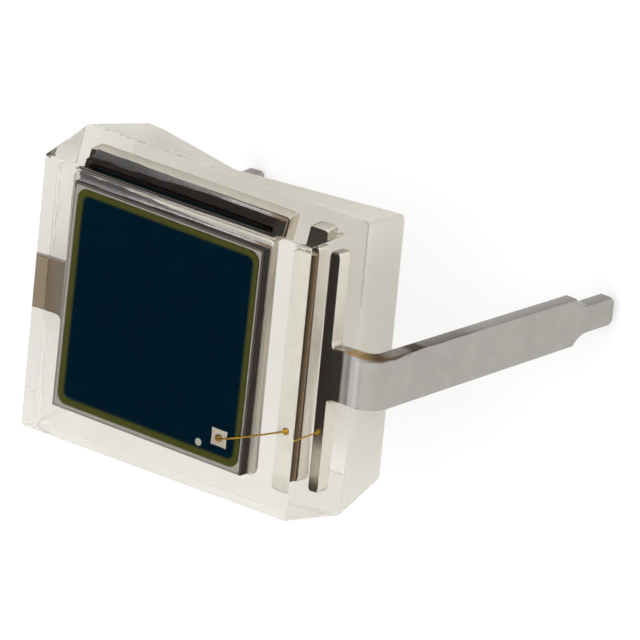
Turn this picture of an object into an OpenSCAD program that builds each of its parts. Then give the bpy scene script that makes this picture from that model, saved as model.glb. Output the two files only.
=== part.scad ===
// Silicon photodiode in a clear moulded block, with two flat leads bent back at its ends.
// Millimetres. The origin is the centre of the block's underside, +Z is the way the chip looks,
// and +X runs from the cathode lead to the anode lead.

/* [Body] */
// Length of the body at its parting line
body_l = 4.53; // [4.4:0.01:5]
// Width of the body at its parting line
body_w = 3.95; // [3.8:0.01:4.4]
// Height of the body below its parting line
rear_h = 0.98; // [0.7:0.02:1.2]
// Height of the body above its parting line
front_h = 0.98; // [0.8:0.02:1.4]
// Draft of the side walls below the parting line, in degrees
rear_draft = 8.25; // [3:0.25:12]
// Draft of the side walls above the parting line, in degrees
front_draft = 7.25; // [3:0.25:10]
// Radius of the rear face's edges
rear_r = 0.03; // [0.02:0.01:0.1]
// Radius of the rear face's corners
rear_corner_r = 0.13; // [0.11:0.01:0.3]
// Radius of the front face's edges
front_r = 0.03; // [0.02:0.005:0.04]
// Radius of the front face's corners
front_corner_r = 0.05; // [0.045:0.005:0.2]
// Radius of the corners at the parting line
corner_r = 0.05; // [0.03:0.01:0.2]
// How far the flash stands out along the parting line
flash_w = 0.02; // [0.01:0.005:0.04]
// Thickness of the flash
flash_t = 0.03; // [0.02:0.005:0.06]

/* [Gate scar] */
// Distance of the scar's deepest line from the middle, towards the cathode lead
gate_shift = 0.6; // [0:0.05:0.8]
// Depth of the scar at the rear face
gate_depth = 0.22; // [0.05:0.01:0.3]
// Length of the scar's steep flank, towards the cathode lead
gate_steep_l = 1.3; // [0.4:0.05:1.6]
// Length of the scar's shallow flank, towards the anode lead
gate_shallow_l = 3.2; // [1:0.05:3.4]

/* [Leads] */
// Thickness of the sheet that the leads are stamped from
lead_t = 0.2; // [0.15:0.01:0.3]
// Width of each lead at the body and round its bend
lead_w = 0.72; // [0.6:0.01:0.9]
// Width that each leg narrows to at its shoulders
leg_end_w = 0.65; // [0.5:0.01:0.7]
// Straight length of each lead between the body and its bend
lead_stub = 0.14; // [0.02:0.01:0.3]
// Inner radius of the bends
bend_r = 0.14; // [0.08:0.01:0.3]
// Angle at which the leads spread outwards, in degrees
lead_splay = 3; // [0:0.5:6]
// Length of the anode lead below the underside of the body
anode_reach = 3.53; // [2:0.01:6]
// Length of the cathode lead below the underside of the body
cathode_reach = 3.62; // [2:0.01:6]
// Width of the leads' tips
tip_w = 0.38; // [0.3:0.01:0.48]
// Length of the straight part of each tip
tip_l = 0.48; // [0.2:0.02:1]
// Radius of the hollow shoulders that run into each tip
shoulder_r = 0.35; // [0.3:0.01:0.6]
// Chamfer on the corners of each tip
tip_chamfer = 0.05; // [0.02:0.01:0.1]

/* [Lead frame inside the body] */
// Shift of the lead frame and the chip across the body
frame_shift = 0.07; // [0:0.01:0.1]
// How far the paddle reaches past the chip on the side of its lead
paddle_lead_margin = 0.11; // [0.05:0.005:0.2]
// How far the paddle reaches past the chip on the side of the bond bar
paddle_bar_margin = 0.055; // [0.045:0.005:0.1]
// How far the paddle and the bond bar reach past the chip across the body
frame_side_margin = 0.095; // [0.05:0.005:0.15]
// Gap between the paddle and the bond bar
bar_gap = 0.325; // [0.2:0.005:0.4]
// Width of the bond bar
bar_w = 0.28; // [0.2:0.01:0.3]
// Radius of the outer corners of the paddle and the bond bar
plate_r = 0.06; // [0.03:0.01:0.1]
// Radius of the inner corners where a lead joins its plate
neck_r = 0.09; // [0.04:0.01:0.12]

/* [Chip] */
// Side of the square chip
chip_w = 3.04; // [2.6:0.01:3.06]
// Thickness of the chip
chip_t = 0.24; // [0.15:0.01:0.3]
// Distance of the chip's centre from the body's centre, towards the cathode lead
chip_shift = 0.34; // [0.3:0.01:0.36]
// Distance of the chip's centre from the middle of its paddle, towards the wall with the gate scar
chip_lift = 0.008; // [0:0.002:0.02]
// Turn of the chip on its paddle, in degrees
chip_turn = -0.75; // [-1:0.05:1]
// Thickness of the adhesive under the chip
attach_t = 0.015; // [0.01:0.005:0.04]
// How far the adhesive squeezes out round the chip
attach_out = 0.02; // [0.005:0.005:0.03]
// Thickness of the films on the chip
film_t = 0.006; // [0.004:0.001:0.02]
// Width of the metal rim along the chip's edge
rim_w = 0.06; // [0.04:0.005:0.1]
// How far the ring and the area inside it lie off the chip's centre, along X and Y
film_shift = 0.01; // [0:0.005:0.02]
// Width of the oxide ring inside the rim
ring_w = 0.08; // [0.05:0.005:0.15]
// Outer corner radius of the oxide ring
ring_r = 0.15; // [0.1:0.01:0.25]
// Corner radius of the light-sensitive area
active_r = 0.1; // [0.05:0.01:0.2]

/* [Bond] */
// Length of the bond pad along X
pad_l = 0.26; // [0.2:0.01:0.3]
// Width of the bond pad along Y
pad_w = 0.25; // [0.2:0.01:0.3]
// Thickness of the bond pad
pad_t = 0.01; // [0.006:0.001:0.02]
// Distance of the pad's centre from the chip's edge along X
pad_edge_x = 0.385; // [0.34:0.005:0.6]
// Distance of the pad's centre from the chip's edge along Y
pad_edge_y = 0.395; // [0.35:0.005:0.6]
// Radius of the probe dot
dot_r = 0.05; // [0.03:0.005:0.06]
// Distance of the probe dot from the pad's centre along X
dot_dx = 0.315; // [0.25:0.005:0.5]
// Distance of the probe dot from the pad's centre along Y
dot_dy = 0.155; // [0:0.005:0.16]
// Diameter of the bond wire
wire_d = 0.034; // [0.02:0.002:0.05]
// Radius of the ball on the bond pad
ball_r = 0.05; // [0.04:0.002:0.07]
// Radius of the second bond, on the bar
stitch_r = 0.048; // [0.04:0.002:0.07]
// Height of the second bond
stitch_h = 0.02; // [0.01:0.002:0.03]
// Distance of the second bond from the bar's middle
stitch_shift = 0.8; // [0.4:0.05:1.4]
// How far the wire's loop pulls up above the ball
wire_rise = 0.14; // [0.1:0.01:0.25]

/* [Hidden] */
$fn = 48;

// Facets round the blended corners of the body, a multiple of four so that its faces lie at full size
blend_fn = 32;
// Height of the straight land at the parting line that both halves of the body start from
land_h = 0.01;
// How far a cutter runs past the surface that it cuts
overcut = 1.3;
// Sides of the wire's section, and steps along its curve
wire_sides = 12;
wire_steps = 20;
// Share of the span at which the wire's curve is pulled up, and at which it is still level with the ball
pull_share = 0.2;
level_share = 0.56;

// Plan of the lead frame
chip_x = -chip_shift;
chip_y = chip_lift - frame_shift;
frame_w = chip_w + 2 * frame_side_margin;
paddle_lead_x = chip_x - chip_w / 2 - paddle_lead_margin;
paddle_bar_x = chip_x + chip_w / 2 + paddle_bar_margin;
bar_inner_x = paddle_bar_x + bar_gap;
bar_outer_x = bar_inner_x + bar_w;
bend_x = body_l / 2 + lead_stub;

// Heights of the layers
frame_top = rear_h + lead_t;
chip_bottom = frame_top + attach_t;
chip_top = chip_bottom + chip_t;

// Films, measured along the side of their squares
ring_side = chip_w - 2 * rim_w;
active_side = ring_side - 2 * ring_w;
pad_x = chip_w / 2 - pad_edge_x;
pad_y = pad_edge_y - chip_w / 2;
turn_x = [cos(chip_turn), -sin(chip_turn)];
turn_y = [sin(chip_turn), cos(chip_turn)];

// The bend and the leg below it
bend_mid_r = bend_r + lead_t / 2;
bend_axis_z = rear_h - bend_r;
shoulder_step = (lead_w - tip_w) / 2;

function leg_length(reach) =
    (reach + bend_axis_z + bend_mid_r * sin(lead_splay)) / cos(lead_splay);

// Ends of the wire
ball_at = [chip_x + turn_x * [pad_x, pad_y], chip_y + turn_y * [pad_x, pad_y]];
stitch_at = [(bar_inner_x + bar_outer_x) / 2, -frame_shift - stitch_shift];
pad_top = chip_top + pad_t;
ball_z = pad_top + ball_r / 2;
stitch_z = frame_top + wire_d / 2;
wire_span = norm(stitch_at - ball_at);
wire_dir = (stitch_at - ball_at) / wire_span;

// A rectangle with round corners, centred
module round_rect(l, w, r) {
    square([l - 2 * r, w], center = true);
    square([l, w - 2 * r], center = true);
    for (x = [-1, 1], y = [-1, 1])
        translate([x * (l / 2 - r), y * (w / 2 - r)]) circle(r);
}

// The web of an inner corner, in the quarter x > 0, y > 0
module corner_web(r) {
    difference() {
        square(r);
        translate([r, r]) circle(r);
    }
}

// A flat disc with a rounded rim, which blends one corner of a face
module corner_dome(plan_r, edge_r) {
    rotate_extrude($fn = blend_fn) {
        square([plan_r - edge_r, edge_r]);
        translate([plan_r - edge_r, 0])
            intersection() {
                circle(edge_r, $fn = blend_fn);
                square(edge_r);
            }
    }
}

// One half of the moulded block, from the parting line up to its face
module body_half(h, draft, edge_r, face_r) {
    face_x = body_l / 2 - h * tan(draft) - face_r;
    face_y = body_w / 2 - h * tan(draft) - face_r;
    hull()
        for (x = [-1, 1], y = [-1, 1]) {
            translate([x * (body_l / 2 - corner_r), y * (body_w / 2 - corner_r), 0])
                cylinder(r = corner_r, h = land_h, $fn = blend_fn);
            translate([x * face_x, y * face_y, h - edge_r]) corner_dome(face_r, edge_r);
        }
}

// Two flat breaks in the +Y wall that meet in a line from the parting line down to the rear face
module gate_scar() {
    wall_y = body_w / 2 - rear_h * tan(rear_draft);
    apex = [-gate_shift, body_w / 2, rear_h - flash_t];
    root = apex + overcut * ([-gate_shift, wall_y - gate_depth, 0] - apex);
    steep = root + pow(overcut, 2) * [-gate_steep_l, gate_depth, 0];
    shallow = root + pow(overcut, 2) * [gate_shallow_l, gate_depth, 0];
    polyhedron([apex, root, steep, shallow], [[0, 1, 2], [0, 3, 1], [0, 2, 3], [1, 3, 2]]);
}

// The moulded block before the pieces inside it are taken out
module body_form() {
    difference() {
        union() {
            translate([0, 0, rear_h]) body_half(front_h, front_draft, front_r, front_corner_r);
            translate([0, 0, rear_h])
                mirror([0, 0, 1]) body_half(rear_h, rear_draft, rear_r, rear_corner_r);
        }
        gate_scar();
    }
    translate([0, 0, rear_h - flash_t / 2])
        linear_extrude(flash_t)
            round_rect(body_l + 2 * flash_w, body_w + 2 * flash_w, corner_r + flash_w);
}

// Plan of a lead inside the body: its plate between two lines, and the neck that runs out to the bend
module lead_plan(inner_x, outer_x) {
    translate([(inner_x + outer_x) / 2, 0]) round_rect(outer_x - inner_x, frame_w, plate_r);
    translate([outer_x - plate_r, -lead_w / 2]) square([bend_x - outer_x, lead_w]);
    for (side = [0, 1])
        mirror([0, side]) translate([outer_x, lead_w / 2]) corner_web(neck_r);
}

// Side view of a lead from a line in its plate: the neck, the bend and the leg, above the sheet's underside
module lead_side(from_x, leg_l) {
    wedge = 2 * (bend_r + lead_t);
    translate([from_x, 0]) square([bend_x - from_x, lead_t]);
    translate([bend_x, -bend_r]) {
        intersection() {
            difference() {
                circle(bend_r + lead_t);
                circle(bend_r);
            }
            polygon([[0, 0], [wedge, wedge * tan(lead_splay)], [wedge, wedge], [0, wedge]]);
        }
        rotate(lead_splay) translate([bend_r, -leg_l]) square([lead_t, leg_l]);
    }
}

// What is stamped away beside a leg, with its end at y = 0: the taper, hollow shoulders, flanks and corners
module leg_waste(leg_l) {
    for (x = [-1, 1]) {
        polygon([[x * leg_end_w / 2, tip_l], [x * lead_w / 2, leg_l],
                 [x * lead_w, leg_l], [x * lead_w, tip_l]]);
        translate([x * (tip_w / 2 + shoulder_r), tip_l]) circle(shoulder_r);
        translate([x * (tip_w / 2 + shoulder_step), tip_l / 2])
            square([2 * shoulder_step, tip_l], center = true);
        translate([x * tip_w / 2, 0]) rotate(45) square(tip_chamfer * sqrt(2), center = true);
    }
}

// A lead stamped and bent from one sheet, with its leg on the +X side
module stamped_lead(inner_x, outer_x, reach) {
    leg_l = leg_length(reach);
    difference() {
        translate([0, -frame_shift, rear_h]) {
            linear_extrude(lead_t) lead_plan(inner_x, outer_x);
            translate([0, lead_w / 2, 0])
                rotate([90, 0, 0]) linear_extrude(lead_w) lead_side(outer_x - plate_r, leg_l);
        }
        translate([bend_x, -frame_shift, bend_axis_z])
            rotate([90, 0, 0]) rotate(lead_splay)
                translate([bend_mid_r, -leg_l, 0])
                    rotate([0, -90, 0]) linear_extrude(2 * lead_t, center = true) leg_waste(leg_l);
    }
}

// A layer of the given thickness that lies on the paddle at the chip's place and turn
module on_paddle(z, t) {
    translate([chip_x, chip_y, z]) rotate(chip_turn) linear_extrude(t) children();
}

// A film of the given thickness that lies on the chip
module on_chip(t) {
    on_paddle(chip_top, t) children();
}

// A rounded square of the chip's pattern
module film_square(side, r) {
    translate([film_shift, film_shift]) round_rect(side, side, r);
}

module pad_plan() {
    translate([pad_x, pad_y]) square([pad_l, pad_w], center = true);
}

module dot_plan() {
    translate([pad_x - dot_dx, pad_y - dot_dy]) circle(dot_r);
}

// Points of the wire's curve in its own upright plane, as distance along the span and height
function wire_point(t) =
    let (p0 = [0, ball_z],
         p1 = [pull_share * wire_span, ball_z + wire_rise],
         p2 = [level_share * wire_span, ball_z],
         p3 = [wire_span, stitch_z],
         s = 1 - t)
    s * s * s * p0 + 3 * s * s * t * p1 + 3 * s * t * t * p2 + t * t * t * p3;

// A ring of the wire: turned to the curve, which it crosses at right angles
function wire_ring(i) =
    let (step = 1 / wire_steps,
         t = i * step,
         ahead = wire_point(min(1, t + step / 2)) - wire_point(max(0, t - step / 2)),
         lean = atan2(ahead[1], ahead[0]),
         centre = wire_point(t))
    [for (k = [0:wire_sides - 1])
        let (a = 360 * k / wire_sides,
             along = centre[0] - wire_d / 2 * sin(a) * sin(lean),
             across = wire_d / 2 * cos(a))
        [ball_at[0] + along * wire_dir[0] - across * wire_dir[1],
         ball_at[1] + along * wire_dir[1] + across * wire_dir[0],
         centre[1] + wire_d / 2 * sin(a) * cos(lean)]];

module wire_tube() {
    rings = [for (i = [0:wire_steps]) each wire_ring(i)];
    sides = [for (i = [0:wire_steps - 1], k = [0:wire_sides - 1])
        let (a = i * wire_sides + k, b = i * wire_sides + (k + 1) % wire_sides)
        [a, a + wire_sides, b + wire_sides, b]];
    first = [for (k = [0:wire_sides - 1]) k];
    last = [for (k = [wire_sides - 1:-1:0]) wire_steps * wire_sides + k];
    polyhedron(rings, concat(sides, [first, last]));
}

module cathode_lead() {
    color("#A9A6A0")
        mirror([1, 0, 0]) stamped_lead(-paddle_bar_x, -paddle_lead_x, cathode_reach);
}

module anode_lead() {
    color("#A9A6A0") stamped_lead(bar_inner_x, bar_outer_x, anode_reach);
}

module die_attach() {
    color("#8A8782")
        on_paddle(frame_top, attach_t)
            round_rect(chip_w + 2 * attach_out, chip_w + 2 * attach_out, attach_out);
}

module silicon_chip() {
    color("#3C332B") on_paddle(chip_bottom, chip_t) square(chip_w, center = true);
}

module edge_metal() {
    color("#B8B4AE")
        on_chip(film_t)
            difference() {
                square(chip_w, center = true);
                film_square(ring_side, ring_r);
            }
}

module oxide_ring() {
    color("#474A1E")
        on_chip(film_t)
            difference() {
                film_square(ring_side, ring_r);
                film_square(active_side, active_r);
            }
}

module active_film() {
    color("#02161F")
        on_chip(film_t)
            difference() {
                film_square(active_side, active_r);
                pad_plan();
                dot_plan();
            }
}

module bond_pad() {
    color("#C9C6C0") on_chip(pad_t) pad_plan();
}

module probe_dot() {
    color("#7E8478") on_chip(film_t) dot_plan();
}

module bond_wire() {
    color("#C69A2E") {
        wire_tube();
        intersection() {
            translate([ball_at[0], ball_at[1], ball_z]) sphere(ball_r);
            translate([ball_at[0] - ball_r, ball_at[1] - ball_r, pad_top]) cube(2 * ball_r);
        }
        translate([stitch_at[0], stitch_at[1], frame_top]) cylinder(r = stitch_r, h = stitch_h);
    }
}

module epoxy_body() {
    color("#EDE6D6", 0.35)
        difference() {
            body_form();
            cathode_lead();
            anode_lead();
            die_attach();
            silicon_chip();
            edge_metal();
            oxide_ring();
            active_film();
            bond_pad();
            probe_dot();
            bond_wire();
        }
}

epoxy_body();
cathode_lead();
anode_lead();
die_attach();
silicon_chip();
edge_metal();
oxide_ring();
active_film();
bond_pad();
probe_dot();
bond_wire();
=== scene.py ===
"""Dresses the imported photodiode: clear moulded block, plated leads, gold wire, chip and its films."""

import math
from functools import partial

import bpy
import numpy as np
from bpy.props import FloatProperty, FloatVectorProperty, PointerProperty
from mathutils import Matrix, Vector


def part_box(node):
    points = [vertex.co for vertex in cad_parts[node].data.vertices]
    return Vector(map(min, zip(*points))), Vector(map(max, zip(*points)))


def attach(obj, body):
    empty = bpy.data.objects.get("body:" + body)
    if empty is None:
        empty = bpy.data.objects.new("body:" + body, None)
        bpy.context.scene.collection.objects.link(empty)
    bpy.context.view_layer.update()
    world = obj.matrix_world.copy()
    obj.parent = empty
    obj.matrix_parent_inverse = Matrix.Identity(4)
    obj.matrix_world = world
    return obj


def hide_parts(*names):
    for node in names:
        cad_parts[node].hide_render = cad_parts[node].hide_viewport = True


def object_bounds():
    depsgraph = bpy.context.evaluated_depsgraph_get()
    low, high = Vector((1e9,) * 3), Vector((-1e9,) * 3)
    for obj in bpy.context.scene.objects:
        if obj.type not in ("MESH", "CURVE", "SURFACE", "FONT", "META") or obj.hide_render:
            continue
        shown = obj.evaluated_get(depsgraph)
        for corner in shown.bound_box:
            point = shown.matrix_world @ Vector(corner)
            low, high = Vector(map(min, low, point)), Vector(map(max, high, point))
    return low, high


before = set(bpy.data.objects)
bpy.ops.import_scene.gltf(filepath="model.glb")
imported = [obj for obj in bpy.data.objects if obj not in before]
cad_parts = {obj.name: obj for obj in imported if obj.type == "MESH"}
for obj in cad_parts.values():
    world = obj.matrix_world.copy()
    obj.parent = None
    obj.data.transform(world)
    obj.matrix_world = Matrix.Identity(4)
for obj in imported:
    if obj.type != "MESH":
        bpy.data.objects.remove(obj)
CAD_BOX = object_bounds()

bl_info = {
    "name": "Clear Photodiode",
    "version": (1, 0, 0),
    "blender": (4, 5, 0),
    "location": "View3D > Sidebar > Photodiode",
    "description": "Builds the visible surfaces of a clear-epoxy photodiode round its solid model",
    "category": "Object",
}

MM = 0.001
BODY = "root"

# Places that come from the solid model, in metres
BLOCK_LO, BLOCK_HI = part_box("epoxy_body")
ANODE_LO, ANODE_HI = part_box("anode_lead")
CATHODE_LO, CATHODE_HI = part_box("cathode_lead")
ATTACH_LO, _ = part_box("die_attach")
CHIP_LO, CHIP_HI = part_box("silicon_chip")
RIM_LO, RIM_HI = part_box("edge_metal")
OXIDE_LO, OXIDE_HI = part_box("oxide_ring")
ACTIVE_LO, ACTIVE_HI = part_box("active_film")
PAD_LO, PAD_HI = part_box("bond_pad")
DOT_LO, DOT_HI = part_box("probe_dot")
_, WIRE_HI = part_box("bond_wire")

# Steps of a quarter round at an outline's corners, on a hollow fillet and on a rounded edge, and of a lead's
# bend and shoulders
ARC_STEPS, FILLET_STEPS, EDGE_STEPS = 20, 8, 5
BEND_STEPS, SHOULDER_STEPS = 30, 12
# How close to a round a flat face gets an extra row that keeps it flat, and the width of a step in an outline
SUPPORT, HAIR = 0.012 * MM, 0.001 * MM


def linear(hex_value):
    """Turns an sRGB hex value such as 'A9A6A0' into linear red, green, blue and a full alpha."""
    coded = np.array([int(hex_value[i:i + 2], 16) for i in (0, 2, 4)]) / 255
    straight = np.where(coded <= 0.04045, coded / 12.92, ((coded + 0.055) / 1.055) ** 2.4)
    return (*straight.tolist(), 1.0)


def length(name, description, millimetres):
    """A length property in metres whose default is given in millimetres."""
    return FloatProperty(name=name, description=description, default=millimetres * MM, min=0.0,
                         precision=6, subtype="DISTANCE", unit="LENGTH")


def angle(name, description, degrees):
    """An angle property whose default is given in degrees."""
    return FloatProperty(name=name, description=description, default=math.radians(degrees), subtype="ANGLE",
                         unit="ROTATION")


def share(name, description, value):
    """A property from 0 to 1."""
    return FloatProperty(name=name, description=description, default=value, min=0.0, max=1.0,
                         subtype="FACTOR")


def colour(name, description, hex_value):
    """A colour property whose default is an sRGB hex value."""
    return FloatVectorProperty(name=name, description=description, default=linear(hex_value), size=4,
                               min=0.0, max=1.0, subtype="COLOR")


class BlockSettings(bpy.types.PropertyGroup):
    """Sizes and colours of the clear moulded block."""

    rear_height: length("Rear height", "Height of the block below its parting line", 0.98)
    rear_inset: length("Rear inset", "How far the rear face lies inside the parting line", 0.1421)
    front_inset: length("Front inset", "How far the front face lies inside the parting line", 0.1265)
    rear_edge: length("Rear edge", "Radius of the rear face's edges", 0.03)
    front_edge: length("Front edge", "Radius of the front face's edges", 0.015)
    top_inset: length("Top inset", "How far the front face lies inside the parting line at +Y", 0.158)
    top_edge: length("Top edge", "Radius of the front face's edge at +Y", 0.06)
    corner: length("Corner", "Radius of the corners at the parting line", 0.05)
    rear_corner: length("Rear corner", "Radius of the flat rear face's corners", 0.1)
    front_corner: length("Front corner", "Radius of the flat front face's corners", 0.02)
    flash_width: length("Flash width", "How far the flash stands out at most", 0.02)
    flash_height: length("Flash height", "Thickness of the flash", 0.03)
    scar_shift: length("Scar place", "Distance of the gate scar's root from the middle", 0.6)
    scar_depth: length("Scar depth", "Depth of the gate scar at the rear face", 0.22)
    scar_steep: length("Steep flank", "Length of the gate scar's steep flank", 1.3)
    scar_shallow: length("Shallow flank", "Length of the gate scar's shallow flank", 3.2)
    tint: colour("Tint", "Colour that the epoxy leaves of white light", "F3F1EA")
    milk: colour("Milk", "Colour of the light that the rear walls scatter", "EAE8E1")
    face_milk: colour("Face milk", "Colour of the light that the rear face scatters", "DEDBD5")
    char: colour("Char", "Colour of the scorched specks on the flash", "8A6A34")
    # A grey matt line along the flash on the wire's side
    flash_line_grey: colour("Soil", "Colour of the dirt in the parting line on the wire's side", "86847A")
    haze: share("Haze", "Roughness of the rear walls as the mould left them", 0.3)
    cloud: share("Cloud", "Share of the light that the rear walls scatter", 0.45)
    face_cloud: share("Face cloud", "Share of the light that the rear face scatters", 0.65)
    calm: share("Calm", "Share by which outer reflections are weakened, as behind a polarising filter", 0.97)


class LeadSettings(bpy.types.PropertyGroup):
    """Sizes and colours of the two stamped leads."""

    thickness: length("Thickness", "Thickness of the sheet", 0.2)
    width: length("Width", "Width of each lead at the block and round its bend", 0.705)
    end_width: length("End width", "Width that each leg narrows to at its shoulders", 0.65)
    paddle_length: length("Paddle length", "Length of the plate that carries the chip", 3.205)
    paddle_trim: length("Paddle trim", "How far the paddle's edge at -Y is drawn in", 0.07)
    bar_length: length("Bar length", "Length of the plate that takes the wire, along the lead", 0.28)
    stub: length("Stub", "Straight length between the block and the bend", 0.14)
    bend: length("Bend", "Inner radius of the bends", 0.14)
    splay: angle("Splay", "Angle at which the leads spread outwards", 3)
    tip_width: length("Tip width", "Width of the tips", 0.38)
    tip_length: length("Tip length", "Straight length of the tips", 0.48)
    shoulder: length("Shoulder", "Radius of the hollow shoulders", 0.35)
    chamfer: length("Chamfer", "Chamfer on the corners of the tips", 0.05)
    plate_corner: length("Plate corner", "Radius of the plates' outer corners", 0.06)
    neck_fillet: length("Neck fillet", "Radius where a lead joins its plate", 0.09)
    edge: length("Edge", "Radius of the stamped edges", 0.022)
    silver: colour("Silver", "Colour of the silver plating inside the block", "E2DDD4")
    tin: colour("Tin", "Colour of the tin plating outside the block", "A8A59F")
    # Painted shade: the plating's colour inside the block, painted darker where it is seen at a slant and
    # almost edge on
    slant_painted_shade: colour("Silver at a slant", "Colour of the silver plating seen at a slant", "B8AE9C")
    graze_painted_shade: colour("Silver at a graze", "Colour of the silver plating seen almost edge on", "5C5854")
    bare: colour("Bare edge", "Colour of the stamped edges", "827E7A")
    # Also the colour of a dark line of painted shade on the chip's lead by the block's wall
    scorch: colour("Scorch", "Colour of the burnt stain on the wire's lead", "3C2C1C")
    tan: colour("Tan", "Colour of the thin burnt film by the block", "8E7146")
    # Painted highlight: a pale lilac band painted where the wire's lead starts to bend
    scuff: colour("Scuff", "Colour of the plating that the bending tool has scuffed", "CCC7CA")
    tarnish: colour("Tarnish", "Colour of the tarnished neck of the chip's lead", "705C40")


class ChipSettings(bpy.types.PropertyGroup):
    """Sizes and colours of the chip and its films."""

    side: length("Side", "Side of the square chip", 3.04)
    turn: angle("Turn", "Turn of the chip on its paddle", -0.75)
    rim_width: length("Rim width", "Width from the chip's edge to the oxide ring", 0.06)
    ring_width: length("Ring width", "Width of the oxide ring", 0.08)
    pad_length: length("Pad length", "Length of the bond pad along X", 0.25)
    pad_width: length("Pad width", "Width of the bond pad along Y", 0.235)
    dot_radius: length("Dot radius", "Radius of the probe dot", 0.05)
    ring_corner: length("Ring corner", "Radius of the oxide ring's outer corners", 0.15)
    active_corner: length("Active corner", "Radius of the light-sensitive area's corners", 0.1)
    pad_corner: length("Pad corner", "Radius of the bond pad's corners", 0.012)
    street: length("Saw street", "Bare silicon that the saw left outside the metal rim", 0.03)
    border: length("Border", "Half the width over which the coating fades into the oxide ring", 0.03)
    bead_least: length("Least bead", "How far the adhesive spreads from the chip all round", 0.01)
    bead_width: length("Bead width", "How far the adhesive's bead spreads beyond that at most", 0.08)
    bead_height: length("Bead height", "How far the adhesive's bead climbs the chip at most", 0.17)
    silicon: colour("Silicon", "Colour of the sawn walls", "1C1816")
    # Painted light: a lighter brown that the wall on the wire's side shows only where seen square on
    wire_wall_painted_light: colour("Brown silicon", "Colour of the sawn wall on the wire's side, seen square on", "77644A")
    ground: colour("Ground silicon", "Colour of the bare saw street", "7C7773")
    rim: colour("Rim", "Colour of the metal rim", "9E9B92")
    oxide: colour("Oxide", "Colour of the oxide ring", "3E401A")
    # Painted shade: the oxide ring's colour where it is seen at a slant
    oxide_painted_slant_shade: colour("Oxide at a slant", "Colour of the oxide ring seen at a slant", "0C0506")
    coating: colour("Coating", "Colour of the light-sensitive area", "021622")
    pad: colour("Pad", "Colour of the bond pad", "B3AB9E")
    dot: colour("Dot", "Colour of the probe dot", "9AA08E")
    adhesive: colour("Adhesive", "Colour of the adhesive under the chip", "E6E2E3")


class WireSettings(bpy.types.PropertyGroup):
    """Sizes and colour of the bond wire."""

    diameter: length("Diameter", "Diameter of the wire", 0.025)
    ball: length("Ball", "Radius of the ball on the pad", 0.05)
    ball_height: length("Ball height", "Height of the ball", 0.06)
    loop: length("Loop", "Height of the wire's loop above the pad", 0.17)
    stitch: length("Stitch", "Half width of the second bond", 0.048)
    stitch_height: length("Stitch height", "Height of the second bond", 0.03)
    gold: colour("Gold", "Colour of the gold", "A17F30")


class StageSettings(bpy.types.PropertyGroup):
    """Camera, floor and lights."""

    camera_distance: length("Camera distance", "Distance from the camera to the block", 200)
    picture_width: length("Picture width", "Width of the picture at the block", 8.079)
    floor_size: length("Floor size", "Side of the floor", 4000)
    floor: colour("Floor", "Colour of the floor", "B4B4B4")
    glow: colour("Glow", "Light that the floor lets through from below", "B0B0B0")
    room: colour("Room", "Colour of the pale room round the stage", "F2F2F2")
    card: colour("Card", "Colour of the dark card that the front face mirrors", "101112")


def node(tree, kind, inputs=(), out=0, stops=(), **settings):
    """Adds a node with its settings, its input values or links, listed in the node's order or by name, and
    the stops of its colour ramp. Returns the output of the given number or name, or all where out is None."""
    made = tree.nodes.new("ShaderNode" + kind)
    for key, value in settings.items():
        setattr(made, key, value)
    for key, value in inputs.items() if isinstance(inputs, dict) else enumerate(inputs):
        if isinstance(value, bpy.types.NodeSocket):
            tree.links.new(value, made.inputs[key])
        else:
            made.inputs[key].default_value = value
    for index, (place, stop) in enumerate(stops):
        ramp = made.color_ramp.elements
        element = ramp[index] if index < 2 else ramp.new(place)
        element.position, element.color = place, stop
    return made.outputs if out is None else made.outputs[out]


def new_material(name):
    """An empty material, and the function above for its own tree."""
    made = bpy.data.materials.new(name)
    made.use_nodes = True
    made.node_tree.nodes.clear()
    return made, partial(node, made.node_tree)


def dark(value, amount):
    """A colour with its light scaled by an amount."""
    return (value[0] * amount, value[1] * amount, value[2] * amount, 1.0)


def quarter_round(steps):
    """Angles from 0 to a right angle in equal steps."""
    return np.linspace(0, math.pi / 2, steps + 1)


def grid_quads(rows, columns, row_count):
    """Quads between each of the first row_count rows of a grid of points and the row above it. The columns
    close on themselves, and so do the rows where all of them are asked for."""
    row, column = np.meshgrid(np.arange(row_count), np.arange(columns), indexing="ij")
    ahead, above = (column + 1) % columns, (row + 1) % rows
    quads = np.stack([row * columns + column, row * columns + ahead,
                      above * columns + ahead, above * columns + column], -1)
    return quads.reshape(-1, 4).tolist()


def tube_faces(rows, columns):
    """Faces of a closed tube of rows by columns points: quads round it and one flat cap at each end."""
    caps = [np.arange(columns)[::-1].tolist(), ((rows - 1) * columns + np.arange(columns)).tolist()]
    return grid_quads(rows, columns, rows - 1) + caps


def add_piece(name, points, faces, material, nodes, sharp):
    """Makes a mesh object at the origin from points in metres, smooth but for edges that turn by more than
    the sharp angle in degrees, and lets it stand for the given nodes."""
    mesh = bpy.data.meshes.new(name)
    mesh.from_pydata(points.reshape(-1, 3).tolist(), [], faces)
    mesh.polygons.foreach_set("use_smooth", np.ones(len(mesh.polygons), bool))
    mesh.set_sharp_from_angle(angle=math.radians(sharp))
    mesh.materials.append(material)
    made = bpy.data.objects.new(name, mesh)
    bpy.context.scene.collection.objects.link(made)
    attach(made, BODY)
    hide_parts(*nodes)
    return made


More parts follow.
